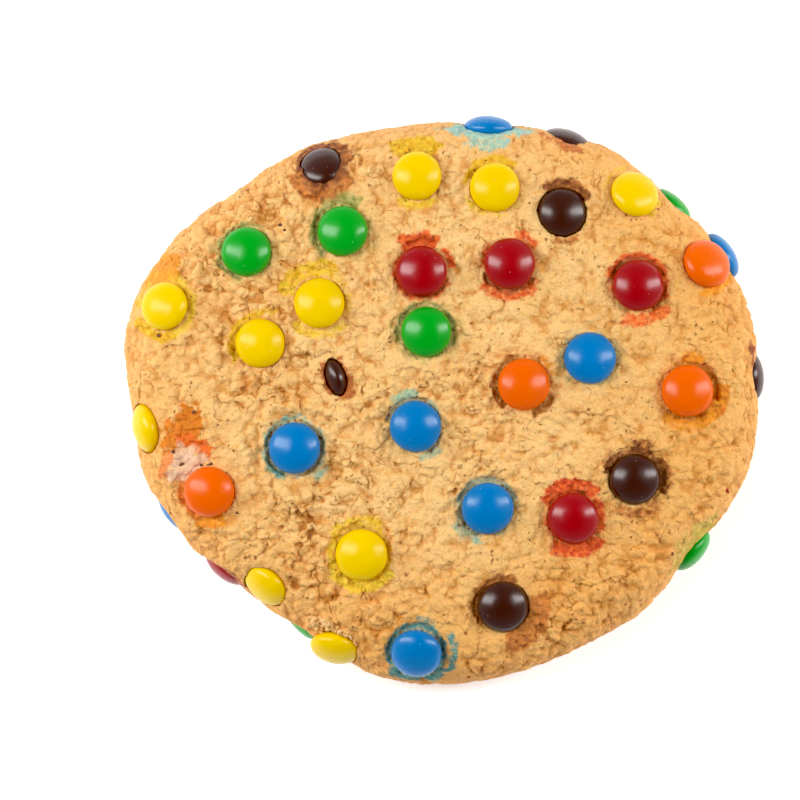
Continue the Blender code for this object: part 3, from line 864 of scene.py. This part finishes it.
def crumb_material():
    """Baked sugar dough: matt, dry and pale gold, browner toward the foot, with painted shade darkening
    its dips, cracks, creases and pits.
    """
    material, add, shader = new_material("baked_sugar_dough")
    place = add("ShaderNodeAttribute", attribute_name="raw").outputs["Vector"]
    crags, baked, crease_shade, torn, rise = (
        add("ShaderNodeAttribute", attribute_name=name).outputs["Fac"]
        for name in ("crags", "golden", "crease_shade", "torn", "rise")
    )
    stain_and_gap_shade = add("ShaderNodeAttribute", attribute_name="dye_and_gap_shade").outputs
    pattern = crust_pattern(add, place, crags)
    broad = add("ShaderNodeTexNoise", {"Vector": place, "Scale": BROAD, "Detail": 2})
    pale, golden = (
        add("ShaderNodeMix", {"Factor": broad, 6: linear(low), 7: linear(high)}, data_type="RGBA")
        for low, high in (PALE_CRUST_HEX, GOLDEN_CRUST_HEX)
    )
    curds = add("ShaderNodeTexNoise", {"Vector": place, "Scale": CURDS, "Detail": 3, "Roughness": 0.6})
    # cover of the painted shade in the dips between lumps, stronger in the craggy patches
    between = add("ShaderNodeMath", {0: pattern["lumpy"], 1: 0.42}, operation="MULTIPLY")
    height = add("ShaderNodeSeparateXYZ", {0: place}).outputs["Z"]
    uneven = add("ShaderNodeMath", {0: broad, 1: -0.006, 2: height}, operation="MULTIPLY_ADD")

    # The cover and shade of the dye and of the painted gap shade waver with the speckle
    mottle = add(
        "ShaderNodeTexNoise",
        {"Vector": place, "Scale": MOTTLE, "Detail": 3, "Roughness": 0.65},
    )
    sway = add("ShaderNodeMath", {0: mottle, 1: 0.5}, operation="SUBTRACT")
    spread = add("ShaderNodeMath", {0: sway, 1: 1.7, 2: stain_and_gap_shade["Alpha"]}, operation="MULTIPLY_ADD")
    streaks = add("ShaderNodeMapRange", {"Value": mottle, 1: 0.35, 2: 0.65, 3: 1.10, 4: 0.86})
    streaked = add("ShaderNodeVectorMath", {0: stain_and_gap_shade["Color"], "Scale": streaks}, operation="SCALE")

    # Pinholes, in some cells only, most of them in patches and in the torn gaps, painted dark as shade
    # in the holes
    crooked = add("ShaderNodeTexNoise", {"Vector": place, "Scale": PIT_KINKS, "Detail": 2})
    aside = add(
        "ShaderNodeVectorMath",
        {0: crooked.outputs["Color"], "Scale": PIT_KINK_THROW},
        operation="SCALE",
    )
    askew = add("ShaderNodeVectorMath", {0: place, 1: aside}, operation="ADD")
    pit = add("ShaderNodeTexVoronoi", {"Vector": askew, "Scale": PITS})
    chance = add("ShaderNodeSeparateColor", {0: pit.outputs["Color"]})
    spots = add("ShaderNodeTexNoise", {"Vector": place, "Scale": PIT_PATCHES, "Detail": 1})
    often = add("ShaderNodeMapRange", {"Value": spots, 1: 0.35, 2: 0.70, 3: -0.66, 4: -0.28})
    holey = add("ShaderNodeMath", {0: torn, 1: 0.40, 2: often}, operation="MULTIPLY_ADD")
    reach = add("ShaderNodeMath", {0: chance, 1: holey}, operation="ADD")
    size = add("ShaderNodeMath", {0: reach, 1: 0.5}, operation="MULTIPLY")
    inside = add("ShaderNodeMath", {0: size, 1: pit}, operation="SUBTRACT")
    pitted = add("ShaderNodeMapRange", {"Value": inside, 1: 0.0, 2: 0.10, 3: 0, 4: 0.85})

    colour = pale.outputs[2]
    for over, where, none, full, cover in (  # colour, and the values between which its cover grows
        (golden.outputs[2], baked, 0, 1, 1),
        (linear("E8A236"), curds, 0.55, 0.70, 0.5),
        # painted shade: the dips between lumps and between beads are darkened
        (linear("D07E14"), pattern["lump"], 0.85, 0.1, between),
        (linear("D07E14"), pattern["bead"], 0.5, 0.1, 0.55),
        # painted shade: where the crumb's relief sinks deepest it is darkened
        (linear("C87C1C"), rise, -0.0004, -0.0013, 0.6),
        (linear("ECA45C"), height, 0.025, 0.010, 0.65),
        (linear("B8702C"), uneven, 0.006, -0.004, 0.85),
        # painted shade in the open seams and at the feet of ledges
        (linear("BE741C"), pattern["crack"], 0, 1, 0.6),
        # painted shade in the creases
        (linear("B8742C"), crease_shade, 0, 1, 0.85),
        (streaked, spread, 0.20, 0.75, 0.95),
        # painted shade in the pinholes
        (linear("9C5A1C"), pitted, 0, 1, 1),
    ):
        share = add("ShaderNodeMapRange", {"Value": where, 1: none, 2: full, 3: 0, 4: cover})
        laid = add("ShaderNodeMix", {"Factor": share, 6: colour, 7: over}, data_type="RGBA")
        colour = laid.outputs[2]
    fleck = add("ShaderNodeTexNoise", {"Vector": place, "Scale": FLECKS, "Detail": 2, "Roughness": 0.6})
    tone = add("ShaderNodeMapRange", {"Value": fleck, 1: 0.3, 2: 0.7, 3: 0.90, 4: 1.10})
    flecked = add("ShaderNodeVectorMath", {0: colour, "Scale": tone}, operation="SCALE")
    grit = add("ShaderNodeTexNoise", {"Vector": place, "Scale": GRIT, "Detail": 1})
    relief = 0.0
    for part, millimetres in (
        (pattern["bead"], 0.38),
        (pattern["ledge"], 0.20),
        (pattern["crack"], -0.08),
        (pitted, -0.30),
        (grit, 0.36),
    ):
        relief = add("ShaderNodeMath", {0: part, 1: millimetres, 2: relief}, operation="MULTIPLY_ADD")
    bump = add("ShaderNodeBump", {"Height": relief, "Strength": 1.0, "Distance": 0.001})
    finish = {
        "Base Color": flecked,
        "Roughness": 0.8,
        "Subsurface Weight": 0.15,
        "Subsurface Radius": (1.0, 0.4, 0.12),
        "Subsurface Scale": 0.0008,
        "Normal": bump,
    }
    feed(shader, finish)
    return material


baked.materials.clear()
baked.materials.append(crumb_material())
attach(dough, "root")
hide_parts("dough")


# Loose bits.
# Crumbs of the baked dough, most of them heaped against a candy at the rim, specks of chocolate,
# and chips of red shell, all baked or fallen on to the crust.
LOOSE = {  # across, up, half length, half width, turn, count, smallest and largest size
    "crumbs": (
        (-0.0324, -0.0606, 0.0056, 0.0018, -25, 150, 0.0006, 0.0020),
        (-0.0262, -0.0634, 0.0034, 0.0010, -45, 30, 0.0004, 0.0014),
        (0.0453, -0.0013, 0.0012, 0.0008, 0, 7, 0.0006, 0.0013),
        (0.0135, 0.0484, 0.0008, 0.0005, 0, 3, 0.0005, 0.0010),
        (-0.0120, 0.0100, 0.0550, 0.0480, 0, 60, 0.0002, 0.0006),
        (0.0350, -0.0050, 0.0350, 0.0480, 0, 30, 0.0002, 0.0005),
    ),
    "chocolate_specks": (
        (-0.0442, 0.0466, 0.0001, 0.0001, 0, 1, 0.0011, 0.0011),
        (-0.0431, 0.0452, 0.0001, 0.0001, 0, 1, 0.0008, 0.0008),
        (-0.0765, 0.0172, 0.0001, 0.0001, 0, 1, 0.0013, 0.0013),
        (-0.0671, -0.0032, 0.0001, 0.0001, 0, 1, 0.0010, 0.0010),
        (-0.0726, -0.0137, 0.0001, 0.0001, 0, 1, 0.0014, 0.0014),
        (-0.0702, -0.0171, 0.0001, 0.0001, 0, 1, 0.0014, 0.0014),
        (-0.0634, -0.0172, 0.0022, 0.0003, 8, 5, 0.0005, 0.0009),
        (-0.0560, -0.0301, 0.0009, 0.0001, 30, 2, 0.0007, 0.0010),
        (-0.0308, -0.0299, 0.0001, 0.0001, 0, 1, 0.0006, 0.0006),
        (0.0531, -0.0048, 0.0001, 0.0001, 0, 1, 0.0007, 0.0007),
        (0.0603, -0.0408, 0.0004, 0.0001, -50, 2, 0.0010, 0.0012),
    ),
    "shell_chips": (
        (0.0752, -0.0246, 0.0003, 0.0007, 10, 3, 0.0010, 0.0016),
        (0.0062, -0.0742, 0.0001, 0.0001, 0, 1, 0.0009, 0.0009),
    ),
}
LOOSE_HEX = {  # pale and deep
    "crumbs": ("FCDA9C", "E8AC5E"),
    "chocolate_specks": ("8A5638", "5A3420"),
    "shell_chips": ("B80A20", "8C0414"),
}
CLEAR_OF_CANDIES = 1.05
BIT_SHAPE = ((0.8, 1.2), (0.6, 1.0), (0.45, 0.8))  # least and most length, width and height
BIT_KNOBS = 1800  # knobs to the metre, 0.6 mm across
BIT_CLOUDS = 1200  # patches of shade to the metre, 0.8 mm
BIT_TOOTH = 4000  # grains to the metre, 0.25 mm
BIT_ROUGHNESS = 0.0010
BIT_SINK = 0.3  # share of its height that a bit sits into the crust


def bit_tree():
    """Sets a rough bit on each point, turned at random and stretched by the point's size."""
    tree, sizes, end = geometry_tree("loose_bits", {"Roughness": 0.0, "Seed": 0})
    add = partial(node, tree)
    ball = add("GeometryNodeMeshIcoSphere", {"Radius": 0.5, "Subdivisions": 2})
    size = add("GeometryNodeInputNamedAttribute", {"Name": "size"}, data_type="FLOAT_VECTOR")
    turn = add(
        "FunctionNodeRandomValue",
        {0: (0, 0, 0), 1: (0.7, 0.7, 6.28), "Seed": sizes["Seed"]},
        data_type="FLOAT_VECTOR",
    )
    bits = add(
        "GeometryNodeInstanceOnPoints",
        {"Points": sizes["Geometry"], "Instance": ball, "Rotation": turn, "Scale": size},
    )
    real = add("GeometryNodeRealizeInstances", {"Geometry": bits})
    place = add("GeometryNodeInputPosition")
    knob = add("ShaderNodeTexNoise", {"Vector": place, "Scale": BIT_KNOBS, "Detail": 2})
    off = add("ShaderNodeMath", {0: knob, 1: 0.5}, operation="SUBTRACT")
    swell = add("ShaderNodeMath", {0: off, 1: sizes["Roughness"]}, operation="MULTIPLY")
    normal = add("GeometryNodeInputNormal")
    offset = add("ShaderNodeVectorMath", {0: normal, "Scale": swell}, operation="SCALE")
    moved = add("GeometryNodeSetPosition", {"Geometry": real, "Offset": offset})
    smooth = add("GeometryNodeSetShadeSmooth", {"Geometry": moved})
    dressed = add("GeometryNodeSetMaterial", {"Geometry": smooth})
    feed(end, {"Geometry": dressed})
    return tree, dressed


def bit_material(kind):
    """Dry crumb, matt chocolate or broken shell: mottled from pale to deep, with a fine tooth."""
    material, add, shader = new_material(f"loose_{kind}")
    place = add("ShaderNodeTexCoord").outputs["Object"]
    pale, deep = LOOSE_HEX[kind]
    cloud = add("ShaderNodeTexNoise", {"Vector": place, "Scale": BIT_CLOUDS, "Detail": 3})
    share = add("ShaderNodeMapRange", {"Value": cloud, 1: 0.35, 2: 0.65, 3: 0, 4: 1})
    tint = add("ShaderNodeMix", {"Factor": share, 6: linear(pale), 7: linear(deep)}, data_type="RGBA")
    tooth = add("ShaderNodeTexNoise", {"Vector": place, "Scale": BIT_TOOTH, "Detail": 2})
    bump = add("ShaderNodeBump", {"Height": tooth, "Strength": 0.6, "Distance": 0.0002})
    feed(shader, {"Base Color": tint.outputs[2], "Roughness": 0.7, "Normal": bump})
    return material


def off_candies(spot):
    """How far a place is from the middle of the nearest candy: 1 on its shell, more outside it."""
    shares = []
    for middle, axis, diameter in candy_places.values():
        away = spot - middle
        along = away @ axis
        spread = away @ away - along**2 + (along / SHELL_THICKNESS) ** 2
        shares.append(2 * math.sqrt(spread) / diameter)
    return min(shares)


bits, bit_dress = bit_tree()
chance = random.Random(7)
for kind, heaps in LOOSE.items():
    spots = []
    sizes = []
    for x, y, length, width, turn, count, smallest, largest in heaps:
        angle = math.radians(turn)
        for _ in range(count):
            out = math.sqrt(chance.random())
            way = chance.uniform(0, 2 * math.pi)
            along = out * math.cos(way) * length
            beside = out * math.sin(way) * width
            size = smallest + (largest - smallest) * chance.random() ** 2
            across = x + along * math.cos(angle) - beside * math.sin(angle)
            up = y + along * math.sin(angle) + beside * math.cos(angle)
            shape = [size * chance.uniform(low, high) for low, high in BIT_SHAPE]
            hit, spot, _, _ = dough.ray_cast(Vector((across, up, 0.1)), Vector((0, 0, -1)))
            if hit and off_candies(np.array(spot)) > CLEAR_OF_CANDIES:
                spots.append(spot + Vector((0, 0, (0.5 - BIT_SINK) * shape[2])))
                sizes.append(shape)
    points = bpy.data.meshes.new(f"{kind}_places")
    points.from_pydata(spots, [], [])
    store(points, "size", sizes, "FLOAT_VECTOR", "vector")
    feed(bit_dress, {"Material": bit_material(kind)})
    piece = grown_by_nodes(kind, points, bits, {"Roughness": BIT_ROUGHNESS, "Seed": 5})
    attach(piece, "root")


# Studio.
# A white sweep lit by two tall softboxes, left and right of the camera, in a room with bright
# walls for fill and a dark ceiling.
SOFTBOX_DISTANCE = 0.85
SOFTBOX_HEIGHT = 0.85
SOFTBOX_FORWARD = 0.20  # how far both stand toward the far side, as a share of their distance
SOFTBOXES = (  # side, angle from straight up, width, power
    (-1, 46, 0.32, 6.6),
    (1, 56, 0.24, 5.3),
)
ROOM_WALLS = 0.58  # how bright the room is at eye level, and overhead
ROOM_CEILING = 0.06
SWEEP_HALF = 2
SWEEP_DROP = 0.0002
SWEEP_GLOW = 0.46  # lifts the sweep to plain white

floor_mesh = bpy.data.meshes.new("floor")
corners = [(x * SWEEP_HALF, y * SWEEP_HALF, 0) for x, y in ((-1, -1), (1, -1), (1, 1), (-1, 1))]
floor_mesh.from_pydata(corners, [], [(0, 1, 2, 3)])
floor = placed("floor", floor_mesh)
floor.location.z = -SWEEP_DROP
sweep, _, shader = new_material("matt_white_sweep")
feed(shader, {"Base Color": linear("F4F4F4"), "Roughness": 0.9})
feed(shader, {"Emission Color": linear("FFFFFF"), "Emission Strength": SWEEP_GLOW})
floor_mesh.materials.append(sweep)

for side, lean, width, power in SOFTBOXES:
    lamp_data = bpy.data.lights.new("softbox", "AREA")
    lamp_data.shape = "RECTANGLE"
    lamp_data.size = width
    lamp_data.size_y = SOFTBOX_HEIGHT
    lamp_data.energy = power
    lamp = placed("softbox", lamp_data)
    tilt = math.radians(lean)
    spot = Vector((side * math.sin(tilt), SOFTBOX_FORWARD, math.cos(tilt))) * SOFTBOX_DISTANCE
    lamp.location = spot
    lamp.rotation_mode = "QUATERNION"
    lamp.rotation_quaternion = spot.to_track_quat("Z", "Y")

room = bpy.data.worlds.new("white_room")
room.use_nodes = True
background = room.node_tree.nodes["Background"]
way = node(room.node_tree, "ShaderNodeTexCoord").outputs["Generated"]
upward = node(room.node_tree, "ShaderNodeSeparateXYZ", {0: way}).outputs["Z"]
glow = node(
    room.node_tree,
    "ShaderNodeMapRange",
    {"Value": upward, 1: 0, 2: 1, 3: ROOM_WALLS, 4: ROOM_CEILING},
)
feed(background, {"Color": linear("FFFFFF"), "Strength": glow})
bpy.context.scene.world = room
